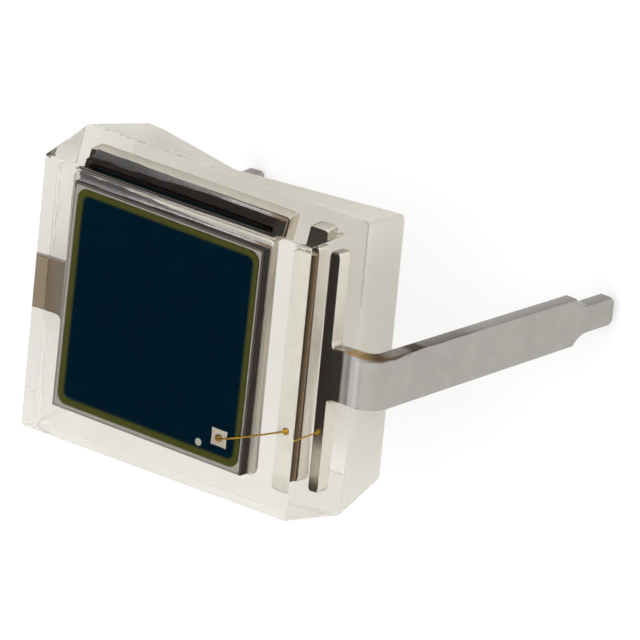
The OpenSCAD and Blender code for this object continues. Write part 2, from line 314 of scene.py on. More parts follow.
def outline_columns(along_x, along_y):
    """Columns round a rounded rectangle, anticlockwise from the corner at +X +Y.
    Each has a place from -1 to 1 on the straight parts and an outward normal, so that
    x = place * (half length - radius) + normal * radius, and y likewise."""
    arc = quarter_round(ARC_STEPS)
    corners = np.array([(1, 1), (-1, 1), (-1, -1), (1, -1)])
    edges = (np.stack([along_x[::-1], np.ones(len(along_x))], 1),
             np.stack([-np.ones(len(along_y)), along_y[::-1]], 1),
             np.stack([along_x, -np.ones(len(along_x))], 1),
             np.stack([np.ones(len(along_y)), along_y], 1))
    outward = np.array([(0, 1), (-1, 0), (0, -1), (1, 0)])
    places, normals = [], []
    for quarter in range(4):
        turn = arc + quarter * math.pi / 2
        places += [np.tile(corners[quarter], (len(arc), 1)), edges[quarter]]
        normals += [np.stack([np.cos(turn), np.sin(turn)], 1),
                    np.tile(outward[quarter], (len(edges[quarter]), 1))]
    return np.concatenate(places), np.concatenate(normals)


# Rows of the block's straight walls as shares of their height, and columns of its end walls from -1 to 1
WALL_ROWS = np.array([[0.015], [0.5], [0.985]])
END_COLUMNS = np.linspace(-0.9, 0.9, 7)
# Columns on the gate scar's flanks at the rear face, and how close to its apex they gather further up
STEEP_COLUMNS, SHALLOW_COLUMNS, APEX_SPREAD = 13, 20, 0.03
# The flash's section: height in half thicknesses, and how far it stands out as a share of its width. Along
# its edge that width is scaled by a mean and by ripples: each one's size, count round the block and start
FLASH_SECTION = np.array([(-1, 0), (-0.9, 0.55), (-0.4, 1), (0.4, 1), (0.9, 0.55), (1, 0)])
FLASH_MEAN, FLASH_RIPPLES = 0.2, ((0.08, 23, 0), (0.06, 57, 1))
# How much the corners count in the angle round the block that the ripples follow
CORNER_SHARE = 0.1


def half_profile(height, inset, edge, corner, face_corner):
    """Rows of one half of the block from its face to the parting line: height above the face, distance inside
    the parting outline and corner radius. The face's edge is a round that the straight wall leaves at a
    tangent; the wall then runs out to the parting outline."""
    centre = inset + edge
    reach = math.hypot(centre, height - edge)
    wall = math.atan2(height - edge, centre) - math.acos(edge / reach)
    turn = np.linspace(-math.pi / 2, wall, ARC_STEPS + 1)
    rounded = np.stack([edge + edge * np.sin(turn), centre - edge * np.cos(turn),
                        face_corner + edge * np.cos(turn)], 1)
    foot, top = rounded[-1], np.array([height, 0, corner])
    return np.concatenate([rounded, foot + (top - foot) * WALL_ROWS])


def block_points(p):
    """The moulded block as a grid of outline columns carried up a profile of rows, with a ragged flash.
    The front face's edge is a larger round at +Y, into which the others blend by the square of the
    normal's y. Below the parting line the +Y wall is cut back to two planes that meet at the gate scar's
    root: y = minimum(wall, root + depth * distance from the root line / flank length), where the root runs
    in from the parting outline by k * (inset + depth) and k goes from 0 at the scar's apex to 1 at the rear
    face. Columns of that wall lean with k, so that they follow the scar's edges."""
    half_l = (BLOCK_HI.x - BLOCK_LO.x) / 2 - p.flash_width
    half_w = (BLOCK_HI.y - BLOCK_LO.y) / 2 - p.flash_width
    lip = p.flash_height / 2
    rear = half_profile(p.rear_height - lip, p.rear_inset, p.rear_edge, p.corner, p.rear_corner)
    front_height = BLOCK_HI.z - p.rear_height - lip
    front, top = (
        half_profile(front_height, inset, edge, p.corner, p.front_corner)[::-1] * [-1, 1, 1]
        + [BLOCK_HI.z, 0, 0]
        for inset, edge in ((p.front_inset, p.front_edge), (p.top_inset, p.top_edge)))
    rise, out = FLASH_SECTION.T * [[lip], [p.flash_width]]
    flash = np.stack([p.rear_height + rise, -out, p.corner + out], 1)
    rows, top_rows = (np.concatenate([rear, flash, face]) for face in (front, top))

    end = 1 - SUPPORT / half_l
    face_l = half_l - p.rear_inset - p.rear_edge - p.rear_corner
    root, steep_end = -p.scar_shift / face_l, (-p.scar_shift - p.scar_steep) / face_l
    low = np.concatenate([[-end], np.linspace(max(-end, steep_end), root, STEEP_COLUMNS)[1:],
                          np.linspace(root, end, SHALLOW_COLUMNS)[1:]])
    apex = np.linspace(-APEX_SPREAD, APEX_SPREAD, len(low) - 2) - p.scar_shift / half_l
    high = np.concatenate([[-end], apex, [end]])
    places, normals = outline_columns(high, np.array([-end, *END_COLUMNS, end]))
    lean = np.zeros(len(places))
    lean[ARC_STEPS + 1:ARC_STEPS + 1 + len(low)] = (low - high)[::-1]

    faces_up = np.clip(normals[:, 1:2], 0, 1) ** 2
    z, inset, radius = np.moveaxis(rows[:, None] + (top_rows - rows)[:, None] * faces_up, -1, 0)
    k = np.clip(1 - z / (p.rear_height - p.flash_height), 0, 1)
    way_x, way_y = (places + CORNER_SHARE * normals).T
    round_it = np.arctan2(way_y, way_x)
    ragged = FLASH_MEAN + sum(size * np.sin(count * round_it + start) for size, count, start in FLASH_RIPPLES)
    inset = np.where(inset < 0, inset * ragged, inset)
    x = (places[:, 0] + lean * k) * (half_l - inset - radius) + normals[:, 0] * radius
    y = places[:, 1] * (half_w - inset - radius) + normals[:, 1] * radius
    from_root = x + p.scar_shift
    rise = p.scar_depth * np.where(from_root < 0, -from_root / p.scar_steep, from_root / p.scar_shallow)
    y = np.where(k > 0, np.minimum(y, half_w - k * (p.rear_inset + p.scar_depth) + rise), y)
    return np.stack([x, y, z], -1)


EPOXY_IOR = 1.54
# How much of its reflections the epoxy keeps, what lamps keep of their light on the way in, and how strongly
# a metre of epoxy takes up what its tint leaves out
INNER_REFLECTION, LAMP_PASS, TINT_DENSITY = (0.15, 0.15, 0.15, 1), (0.93, 0.92, 0.9, 1), 200.0
PARTING_BLEND = 0.02 * MM
SPECK_SIZE = 0.09 * MM


def clear_epoxy(p):
    """Clear casting epoxy, transfer moulded. The polished front shows the chip sharply; the eroded mould
    walls behind the parting line blur and cloud what lies behind them, and the thick epoxy has a faint straw
    tint. The thin flash has scorched specks by the chip's lead and a grey matt line on the wire's side. Lamps
    reach the inside, as light does through the real block."""
    made, add = new_material("clear_epoxy_moulded")
    place = add("TexCoord", out="Object")
    x, y, z = add("SeparateXYZ", [place], out=None)
    rear = add("MapRange", [z, p.rear_height - PARTING_BLEND, p.rear_height + PARTING_BLEND, 1.0, 0.0])
    rough = add("Math", [rear, p.haze], operation="MULTIPLY")

    # From outside the surface mostly bends light, from inside it mirrors too
    glass = add("BsdfPrincipled", {
        "Base Color": (1, 1, 1, 1), "Roughness": rough, "IOR": EPOXY_IOR, "Transmission Weight": 1.0,
        "Specular Tint": INNER_REFLECTION})
    bent = add("BsdfRefraction", {"Roughness": rough, "IOR": EPOXY_IOR})
    inside = add("NewGeometry", out="Backfacing")
    calmed = add("Math", [inside, -p.calm, p.calm], operation="MULTIPLY_ADD")
    skin = add("MixShader", [calmed, glass, bent])

    # The rear half scatters light, its flat face more than its walls
    lie = add("SeparateXYZ", [add("NewGeometry", out="Normal")], out="Z")
    lie = add("Math", [lie], operation="ABSOLUTE")
    level = add("MapRange", [lie, 0.5, 0.98])
    clouded = add("MapRange", [level, 0.0, 1.0, p.cloud, p.face_cloud])
    clouded = add("Math", [rear, clouded], operation="MULTIPLY")
    milk = add("Mix", {0: level, "A": p.milk, "B": p.face_milk}, out=2, data_type="RGBA")
    milky = add("BsdfTranslucent", {"Color": milk})
    skin = add("MixShader", [clouded, skin, milky])

    # Films on the flash, each kept to its stretch of the parting line
    off_line = add("Math", [z, p.rear_height], operation="SUBTRACT")
    off_line = add("Math", [off_line], operation="ABSOLUTE")
    on_flash = add("Math", [off_line, 0.55 * p.flash_height], operation="LESS_THAN")
    specks = add("TexNoise", {"Vector": place, "Scale": 1 / SPECK_SIZE, "Detail": 3.0})
    specks = add("MapRange", [specks, 0.5, 0.62])
    chip_half = add("MapRange", [x, -0.3 * MM, 0.1 * MM, 1.0, 0.0])
    upper_half = add("MapRange", [y, -0.3 * MM, 0.2 * MM])
    wire_wall = add("MapRange", [x, BLOCK_HI.x - 0.1 * MM, BLOCK_HI.x - 0.05 * MM, 0.0, 0.7])
    upper_end = add("MapRange", [y, 0.7 * MM, 1.0 * MM])
    for tone, roughness, stretch in ((p.char, 0.5, (specks, chip_half, upper_half)),
                                     (p.flash_line_grey, 0.7, (wire_wall, upper_end))):
        reach = on_flash
        for limit in stretch:
            reach = add("Math", [reach, limit], operation="MULTIPLY")
        film = add("BsdfPrincipled", {"Base Color": tone, "Roughness": roughness})
        skin = add("MixShader", [reach, skin, film])

    lamp_ray = add("LightPath", out="Is Shadow Ray")
    pass_through = add("BsdfTransparent", {"Color": LAMP_PASS})
    shown = add("MixShader", [lamp_ray, skin, pass_through])
    tint = add("VolumeAbsorption", {"Color": p.tint, "Density": TINT_DENSITY})
    add("OutputMaterial", {"Surface": shown, "Volume": tint}, out=None)
    return made


class PHOTODIODE_OT_block(bpy.types.Operator):
    """Make the clear moulded block."""

    bl_idname = "photodiode.block"
    bl_label = "Clear Block"

    def execute(self, context):
        p = context.scene.photodiode_block
        points = block_points(p)
        add_piece("moulded_block", points, tube_faces(*points.shape[:2]), clear_epoxy(p), ["epoxy_body"],
                  sharp=4.6)
        return {"FINISHED"}


def strip_section(p):
    """Columns round a lead's section: the side each belongs to, its offset from that side and its height, so
    that y = side * half width + offset. Quarter rounds at the corners, with an extra column on each flat."""
    arc = quarter_round(EDGE_STEPS)
    inner, half_t = p.edge + SUPPORT, p.thickness / 2
    columns = []
    for quarter, (side, top) in enumerate(((1, 1), (-1, 1), (-1, -1), (1, -1))):
        turn = arc + quarter * math.pi / 2
        columns.append(np.stack([np.full(len(arc), side), p.edge * np.cos(turn) - side * p.edge,
                                 top * (half_t - p.edge) + p.edge * np.sin(turn)], 1))
        if side == top:
            columns.append(np.array([(side, -side * inner, top * half_t),
                                     (-side, side * inner, top * half_t)]))
    return np.concatenate(columns).T


def strip_widths(p, plate, half_plate, level, turned, run):
    """Distances along a lead and its half width there, from the plate's inner edge to the end of the tip.
    The plate has round corners and narrows to the lead by a hollow fillet; below the bend the leg narrows
    evenly, then hollow shoulders narrow it to its tip, whose corners are chamfered."""
    half, tip = p.width / 2, p.tip_width / 2
    arc = quarter_round(FILLET_STEPS)
    turn = np.linspace(math.acos(1 - (p.end_width / 2 - tip) / p.shoulder), 0, SHOULDER_STEPS + 1)
    bend = level + np.linspace(0, turned, BEND_STEPS + 1)
    stretches = (
        (p.plate_corner * (1 - np.cos(arc)), half_plate - p.plate_corner * (1 - np.sin(arc))),
        (plate - HAIR - p.plate_corner * (1 - np.sin(arc)), half_plate - p.plate_corner * (1 - np.cos(arc))),
        (plate + p.neck_fillet * (1 - np.cos(arc)), half + p.neck_fillet * (1 - np.sin(arc))),
        (np.array([bend[0] - SUPPORT, *bend, bend[-1] + SUPPORT]), np.full(len(bend) + 2, half)),
        (run - p.tip_length - p.shoulder * np.sin(turn), tip + p.shoulder * (1 - np.cos(turn))),
        (np.array([run - p.chamfer, run]), np.array([tip, tip - p.chamfer])),
    )
    return [np.concatenate(part) for part in zip(*stretches)]


def strip_points(p, inner_x, plate, trim, low, high):
    """A lead as its section carried along the bent centre line, each point's place on the flat strip, and
    how far it lies on a stamped edge, from 0 to 1. The plate's edge at -Y is drawn in by the trim.
    The line runs level, turns down by an arc of radius R and goes on straight at the splay:
    x = level + R sin a + run cos a and z = top - R (1 - cos a) - run sin a, with the heading a."""
    radius, turn = p.bend + p.thickness / 2, math.pi / 2 - p.splay
    level = BLOCK_HI.x - bpy.context.scene.photodiode_block.flash_width + p.stub - inner_x
    middle_z = high.z - p.thickness / 2
    tip_z = low.z + p.thickness / 2 * math.sin(p.splay)
    leg = (middle_z - radius * (1 - math.cos(turn)) - tip_z) / math.sin(turn)
    along, half = strip_widths(p, plate, (high.y - low.y) / 2, level, radius * turn,
                               level + radius * turn + leg)
    heading = np.clip((along - level) / radius, 0, turn)
    below = np.maximum(0, along - level - radius * turn)
    x = inner_x + np.minimum(along, level) + radius * np.sin(heading) + below * math.cos(turn)
    z = middle_z - radius * (1 - np.cos(heading)) - below * math.sin(turn)
    side, offset, up = strip_section(p)
    across = side * half[:, None] + offset + trim * np.outer(along < plate, side < 0)
    points = np.stack([x[:, None] + up * np.sin(heading)[:, None], across + (low.y + high.y) / 2,
                       z[:, None] + up * np.cos(heading)[:, None]], -1)
    flat = np.stack([np.broadcast_to((along - level)[:, None], across.shape), across,
                     np.broadcast_to(up, across.shape)], -1)
    return points, flat, np.broadcast_to(np.clip(1 - np.abs(offset) / p.edge, 0, 1), across.shape)


# Burnt, tarnished and rubbed places on the leads, and among them painted shade and a painted highlight: the
# colour's setting, how strong it is, whether it covers the metal as a matt film, and then in mm where it
# begins and ends along the strip, counted from the start of the bend, over what length it fades there, where
# across the strip it sets in and is full, and how ragged
EVERYWHERE, EDGE, FACE_EDGE = (-1.0, -0.9), (0.322, 0.332), (0.285, 0.315)
PADDLE_SIDE = (CATHODE_HI.y - CATHODE_LO.y) / 2 / MM
# Painted shade: the plates' +Y walls are darkened towards the stamped edges' colour
PAINTED_SHADE_WALL = ("bare", 0.3, False, -4.0, -0.45, 0.02, PADDLE_SIDE - 0.02, PADDLE_SIDE - 0.01, 0.0)
WIRE_LEAD_STAINS = (
    PAINTED_SHADE_WALL,
    ("bare", 0.5, True, -0.2, -0.07, 0.02, *EVERYWHERE, 0.0),
    # Painted highlight on the bend's start, as a pale matt film
    ("scuff", 0.6, True, -0.05, 0.03, 0.03, *EVERYWHERE, 0.0),
    ("tan", 0.9, True, -0.1, 0.35, 0.15, *EDGE, 0.01),
    ("scorch", 0.9, True, 0.2, 0.6, 0.2, *FACE_EDGE, 0.08),
    ("bare", 0.6, False, 0.4, 0.6, 0.15, 0.34, 0.346, 0.01),
    ("scorch", 0.97, True, 0.78, 0.96, 0.25, *EDGE, 0.06),
    ("scorch", 0.7, True, 1.15, 1.75, 0.5, *EDGE, 0.04),
)
CHIP_LEAD_STAINS = (
    PAINTED_SHADE_WALL,
    ("tarnish", 0.85, False, -0.43, 0.06, 0.02, *EVERYWHERE, 0.0),
    ("bare", 0.5, False, -0.43, -0.36, 0.06, *EVERYWHERE, 0.0),
    # Painted shade: a dark line on the chip's lead just inside the block's wall
    ("scorch", 0.75, False, -0.16, -0.14, 0.02, -0.15, 0.05, 0.02),
)
# Rolling lines lie a few thousandths of a millimetre apart, too fine to show, so they are drawn coarser
ROLLING_LINES, ROLLING_DEPTH, ROLLING_SHORTER = 0.02 * MM, 0.004 * MM, (0.04, 1.0, 1.0)
PLATING_CLOUD = 0.22 * MM
PLATING_BLEND = 0.03 * MM


def plated_lead(p, name, stains):
    """Copper-alloy strip, rolled and stamped, silver plated inside the block and tinned outside: a satin grey
    with fine rolling lines along the strip, a slight cloud, duller stamped edges and stains, with painted
    shade on the plates' +Y walls, a dark line of painted shade by the block's wall on the chip's lead, and a
    painted highlight at the bend on the wire's lead. It looks matt face on and mirrors at a slant, as finely
    etched plating does; inside the block its colour is painted darker at a slant and darker still seen almost
    edge on, as painted shade."""
    made, add = new_material(name)
    flat = add("Attribute", out="Vector", attribute_name="strip_place")
    along, across, _ = add("SeparateXYZ", [flat], out=None)
    lines = add("Mapping", {"Vector": flat, "Scale": ROLLING_SHORTER})
    rolled = add("TexNoise", {"Vector": lines, "Scale": 1 / ROLLING_LINES, "Detail": 2.0})
    cloud = add("TexNoise", {"Vector": flat, "Scale": 1 / PLATING_CLOUD, "Detail": 4.0})
    facing = add("LayerWeight", out="Facing")
    # Painted shade: the silver's colour is darkened by how slanted the surface is to the view
    silver = add("ValToRGB", [facing], stops=(
        (0.2, p.silver), (0.5, p.slant_painted_shade), (0.7, p.slant_painted_shade), (0.78, p.graze_painted_shade)))
    outside = add("MapRange", [along, -p.stub - PLATING_BLEND, -p.stub + PLATING_BLEND])
    surface = add("Mix", {0: outside, "A": silver, "B": p.tin}, out=2, data_type="RGBA")
    bare = add("Attribute", out="Fac", attribute_name="bare_edge")
    bare = add("Math", [bare, outside], operation="MULTIPLY")
    surface = add("Mix", {0: bare, "A": surface, "B": p.bare}, out=2, data_type="RGBA")
    shade = add("MapRange", [cloud, 0.3, 0.7, 0.9, 1.0])
    surface = add("VectorMath", [surface, shade], operation="MULTIPLY")

    films = []
    for tone, strength, matt, *sizes in stains:
        begin, end, fade, sets_in, full, ragged = (size * MM for size in sizes)
        wavy = add("Math", [cloud, ragged, across], operation="MULTIPLY_ADD")
        aside = add("MapRange", [wavy, sets_in + ragged / 2, full + ragged / 2, 0.0, strength])
        begins = add("MapRange", [along, begin - fade, begin])
        ends = add("MapRange", [along, end, end + fade, 1.0, 0.0])
        reach = add("Math", [begins, ends], operation="MULTIPLY")
        reach = add("Math", [reach, aside], operation="MULTIPLY")
        surface = add("Mix", {0: reach, "A": surface, "B": getattr(p, tone)}, out=2, data_type="RGBA")
        if matt:
            films.append(reach)
    metal, gloss = 1.0, 0.5
    if films:
        film = films[0]
        for other in films[1:]:
            film = add("Math", [film, other], operation="MAXIMUM")
        metal, gloss = (add("MapRange", [film, 0.0, 1.0, most, 0.0]) for most in (metal, gloss))
    rough = add("MapRange", [facing, 0.2, 0.55, 0.42, 0.1])
    bump = add("Bump", {"Height": rolled, "Strength": 0.15, "Distance": ROLLING_DEPTH})
    shader = add("BsdfPrincipled", {"Base Color": surface, "Metallic": metal, "Roughness": rough,
                                    "Specular IOR Level": gloss, "Normal": bump})
    add("OutputMaterial", {"Surface": shader}, out=None)
    return made


class PHOTODIODE_OT_leads(bpy.types.Operator):
    """Make the two stamped leads."""

    bl_idname = "photodiode.leads"
    bl_label = "Leads"

    def execute(self, context):
        p = context.scene.photodiode_leads
        for name, mirrored, inner_x, plate, trim, low, high, cad, finish in (
                ("chip_lead", True, -CATHODE_HI.x, p.paddle_length, p.paddle_trim, CATHODE_LO, CATHODE_HI,
                 "cathode_lead", plated_lead(p, "plated_chip_lead", CHIP_LEAD_STAINS)),
                ("wire_lead", False, ANODE_LO.x, p.bar_length, 0.0, ANODE_LO, ANODE_HI,
                 "anode_lead", plated_lead(p, "plated_wire_lead", WIRE_LEAD_STAINS))):
            points, flat, bare = strip_points(p, inner_x, plate, trim, low, high)
            faces = tube_faces(*points.shape[:2])
            if mirrored:
                points = points * [-1, 1, 1]
            else:
                faces = [face[::-1] for face in faces]
            made = add_piece(name, points, faces, finish, [cad], sharp=32)
            places = made.data.attributes.new("strip_place", "FLOAT_VECTOR", "POINT")
            places.data.foreach_set("vector", flat.astype(np.float32).ravel())
            edges = made.data.attributes.new("bare_edge", "FLOAT", "POINT")
            edges.data.foreach_set("value", bare.astype(np.float32).ravel())
        return {"FINISHED"}


# Columns on the straight sides of the films and of the adhesive, whose bead ripples, from -1 to 1
FILM_COLUMNS, BEAD_COLUMNS = np.linspace(-0.96, 0.96, 17), np.linspace(-0.99, 0.99, 67)


def rounded_outline(half_x, half_y, corner):
    """Points of a rounded rectangle round the origin, anticlockwise, with the same count for any size."""
    places, normals = outline_columns(FILM_COLUMNS, FILM_COLUMNS)
    return places * [half_x - corner, half_y - corner] + normals * corner


def set_down(plan, heights, turn, low, high):
    """Rows of plan points round the origin, with a height for each row or each point, turned and moved to
    the middle of a box."""
    spin = np.array([(math.cos(turn), math.sin(turn)), (-math.sin(turn), math.cos(turn))])
    placed = plan @ spin + np.array((low + high).xy) / 2
    return np.concatenate([placed, np.broadcast_to(heights, plan.shape[:2])[..., None]], -1)


def film_hoop(outer, outer_corner, inner, inner_corner, turn, low, high):
    """A flat frame on the chip: a rectangular profile carried round between two rounded squares."""
    ring_in = rounded_outline(inner, inner, inner_corner)
    ring_out = rounded_outline(outer, outer, outer_corner)
    heights = np.array([[low.z], [low.z], [high.z], [high.z]])
    return set_down(np.stack([ring_in, ring_out, ring_out, ring_in]), heights, turn, low, high)


def film_plate(half, corner, round_over, turn, low, high, waist=0.0):
    """A flat plate with a rounded outline whose upper edge is rounded over: the outline drawn in by
    r (1 - cos a) while it rises by r sin a. The waist is the share by which the middle of each side is drawn
    in, along a parabola, with the corners left standing."""
    arc = quarter_round(EDGE_STEPS)
    inset = np.concatenate([[0], round_over * (1 - np.cos(arc))])
    z = np.concatenate([[low.z], high.z - round_over * (1 - np.sin(arc))])
    outline = rounded_outline(*half, corner)
    reach = np.array(half)
    outline = outline * (1 - waist * (1 - (outline[:, ::-1] / reach[::-1]) ** 2))
    return set_down(outline * (1 - inset[:, None, None] / reach), z[:, None], turn, low, high)


# The bead's size along the chip's +Y side: its share in the middle, the length over which it grows by the
# whole, its least share, and its ripples: their mean, and each one's size and length
BEAD_MIDDLE, BEAD_GROWTH, BEAD_LEAST = 0.42, 1.45 * MM, 0.25
BEAD_MEAN, BEAD_RIPPLES = 0.85, ((0.1, 0.09 * MM), (0.05, 0.037 * MM))
# How far the layer climbs the chip all round, as a share of its thickness, and how far it reaches into it
BEAD_CLIMB, BEAD_OVERLAP = 1.2, 0.002 * MM


def bead_points(p):
    """The adhesive under the chip with its bead: the chip's outline spread by width * (1 - sin a) while it
    rises by height * (1 - cos a), a hollow fillet, then down again inside the chip's wall to its underside.
    Width and height grow along the +Y side towards the chip's lead, with a slow ripple."""
    places, normals = outline_columns(BEAD_COLUMNS, BEAD_COLUMNS)
    wall = places * p.side / 2
    along = wall[:, 0]
    reach = np.clip(BEAD_MIDDLE - along / BEAD_GROWTH, BEAD_LEAST, 1) * np.clip(normals[:, 1], 0, 1)
    reach = reach * (BEAD_MEAN + sum(size * np.sin(along / wave) for size, wave in BEAD_RIPPLES))
    layer = CHIP_LO.z - ATTACH_LO.z
    width = p.bead_least + p.bead_width * reach
    height = layer * BEAD_CLIMB + p.bead_height * reach
    turn = quarter_round(FILLET_STEPS)[:, None]
    spread = np.concatenate([width * (1 - np.sin(turn)), np.full((2, len(wall)), -BEAD_OVERLAP)])
    rise = np.concatenate([height * (1 - np.cos(turn)), height[None], np.full((1, len(wall)), layer)])
    return set_down(wall + spread[..., None] * normals, ATTACH_LO.z + rise, p.turn, CHIP_LO, CHIP_HI)


# A diamond blade's lines lie a few thousandths of a millimetre apart, too fine to show, so they are drawn
# coarser
SAW_LINES, SAW_DEPTH, SAW_LONGER = 0.03 * MM, 0.004 * MM, (0.12, 0.12, 1.0)


def sawn_silicon(p):
    """Silicon cut by a diamond blade: matt dark walls with fine level saw lines and chipped spots; painted
    light in brown at the foot of the wall on the wire's side, only where it is seen square on; and a paler
    ground street along the top, which painted shade darkens at a slant and which is darker on the wire's and
    the scar's side."""
    made, add = new_material("sawn_silicon")
    place = add("TexCoord", out="Object")
    x, y, z = add("SeparateXYZ", [place], out=None)
    facing = add("LayerWeight", out="Facing")
    lines = add("Mapping", {"Vector": place, "Scale": SAW_LONGER})
    saw = add("TexNoise", {"Vector": lines, "Scale": 1 / SAW_LINES, "Detail": 3.0})
    tone = add("ValToRGB", [saw], stops=((0.3, dark(p.silicon, 0.5)), (0.7, dark(p.silicon, 1.5))))
    bump = add("Bump", {"Height": saw, "Strength": 0.5, "Distance": SAW_DEPTH})

    # Painted light: the wall on the wire's side turns brown at its foot where it is seen square on
    wire_side = add("MapRange", [x, CHIP_HI.x - 0.09 * MM, CHIP_HI.x - 0.06 * MM])
    square_on = add("MapRange", [facing, 0.25, 0.4, 0.75, 0.0])
    foot = add("MapRange", [z, CHIP_LO.z + 0.02 * MM, CHIP_LO.z + 0.08 * MM, 1.0, 0.2])
    painted_light_share = add("Math", [wire_side, square_on], operation="MULTIPLY")
    painted_light_share = add("Math", [painted_light_share, foot], operation="MULTIPLY")
    tone = add("Mix", {0: painted_light_share, "A": tone, "B": p.wire_wall_painted_light}, out=2, data_type="RGBA")

    # Painted shade: the ground street's paler colour gives way to the dark wall colour at a slant
    upward = add("SeparateXYZ", [add("NewGeometry", out="Normal")], out="Z")
    street = add("Math", [upward, facing], operation="SUBTRACT")
    street = add("MapRange", [street, 0.6, 0.8])
    scar_side = add("MapRange", [y, CHIP_HI.y - 0.11 * MM, CHIP_HI.y - 0.08 * MM, 0.0, 0.75])
    dull = add("Math", [wire_side, scar_side], operation="MAXIMUM")
    bright = add("MapRange", [dull, 0.0, 1.0, 1.0, 0.2])
    street = add("Math", [street, bright], operation="MULTIPLY")
    tone = add("Mix", {0: street, "A": tone, "B": p.ground}, out=2, data_type="RGBA")
    shader = add("BsdfPrincipled", {"Base Color": tone, "Roughness": 0.55, "Specular IOR Level": 0.1,
                                    "Normal": bump})
    add("OutputMaterial", {"Surface": shader}, out=None)
    return made


# Silver flakes are a few thousandths of a millimetre long, too fine to show, so they are drawn coarser
SILVER_FLAKES = 0.015 * MM
# Share of its light that the adhesive shows along X, from this far on its lead's side to as far on the wire's
THIN_STRETCH = 1.2 * MM
# The last stop is painted shade: the adhesive turns darker and browner at the wire's end
THIN_STOPS = ((0.0, (0.33, 0.33, 0.33, 1)), (0.15, (0.48, 0.48, 0.48, 1)), (0.6, (1, 1, 1, 1)),
              (0.88, (1, 1, 1, 1)), (0.93, (0.5, 0.4, 0.3, 1)))


def silver_adhesive(p):
    """Silver-filled epoxy adhesive, dispensed and cured: a dull grey paste with flakes and a painted glint
    that lightens it at a slant and leaves it darker face on, paler towards the wire's side, where it runs out
    thin over the silver, and darker and browner at the wire's end, as painted shade."""
    made, add = new_material("silver_filled_adhesive")
    place = add("TexCoord", out="Object")
    flakes = add("TexVoronoi", {"Vector": place, "Scale": 1 / SILVER_FLAKES}, out="Color")
    tone = add("ValToRGB", [flakes], stops=((0.2, dark(p.adhesive, 0.6)), (0.8, dark(p.adhesive, 1.2))))
    # Painted glint: the colour is darker face on and lighter at a slant; on the wire's side the darkening is
    # held back
    facing = add("LayerWeight", out="Facing")
    painted_glint = add("MapRange", [facing, 0.3, 0.6, 0.3, 1.0])
    along = add("SeparateXYZ", [place], out="X")
    along = add("MapRange", [along, -THIN_STRETCH, THIN_STRETCH])
    even = add("MapRange", [along, 0.4, 0.65, 0.0, 0.55])
    shade = add("Math", [painted_glint, even], operation="MAXIMUM")
    thin = add("ValToRGB", [along], stops=THIN_STOPS)
    for light in (shade, thin):
        tone = add("VectorMath", [tone, light], operation="MULTIPLY")
    shader = add("BsdfPrincipled", {"Base Color": tone, "Metallic": 0.5, "Roughness": 0.6})
    add("OutputMaterial", {"Surface": shader}, out=None)
    return made


def chip_film(name, tone, slant, metallic, roughness, gloss, grain, contrast, border=None):
    """A film on the chip, laid down in a vacuum or grown in a furnace: smooth and even, with a slight cloud
    in its colour from the film's thickness. The grain is the cloud's size in mm and the contrast how strong
    it is. Seen at a slant the film mirrors, and its colour is painted over with its slant colour, which on
    the dark films is painted shade. A border fades to another colour within a width on both sides of a
    turned, rounded square, in the middle of a box."""
    made, add = new_material(name)
    place = add("TexCoord", out="Object")
    cloud = add("TexNoise", {"Vector": place, "Scale": 1 / (grain * MM), "Detail": 3.0})
    shade = add("ValToRGB", [cloud], stops=((0.3, dark(tone, 1 - contrast)), (0.7, dark(tone, 1 + contrast))))
    if border:
        low, high, turn, half, corner, width, edge_tone = border
        square = add("VectorMath", [place, (low + high) / 2], operation="SUBTRACT")
        square = add("VectorRotate", {"Vector": square, "Angle": -turn}, rotation_type="Z_AXIS")
        square = add("VectorMath", [square], operation="ABSOLUTE")
        past = add("VectorMath", [square, (half - corner, half - corner, 0)], operation="SUBTRACT")
        past = add("VectorMath", [past, (0, 0, 0)], operation="MAXIMUM")
        past = add("VectorMath", [past], out="Value", operation="LENGTH")
        fade = add("MapRange", [past, corner - width, corner + width],
                   interpolation_type="SMOOTHSTEP")
        shade = add("Mix", {0: fade, "A": shade, "B": edge_tone}, out=2, data_type="RGBA")
    # Painted shade: at a slant the colour is mixed towards the slant colour, much darker on the oxide and the
    # coating
    facing = add("LayerWeight", out="Facing")
    slanted = add("MapRange", [facing, 0.2, 0.42])
    shade = add("Mix", {0: slanted, "A": shade, "B": slant}, out=2, data_type="RGBA")
    rough = add("MapRange", [slanted, 0.0, 1.0, roughness, 0.06])
    shader = add("BsdfPrincipled", {"Base Color": shade, "Metallic": metallic, "Roughness": rough,
                                    "Specular IOR Level": gloss})
    add("OutputMaterial", {"Surface": shader}, out=None)
    return made


# Rounds on the upper edges of the coating and of the pad and dot, how far the dot stands above its solid,
# and how far the pad's sides are drawn in
COATING_ROUND, PAD_ROUND, DOT_RISE, PAD_WAIST = 0.0005 * MM, 0.003 * MM, 0.003 * MM, 0.05


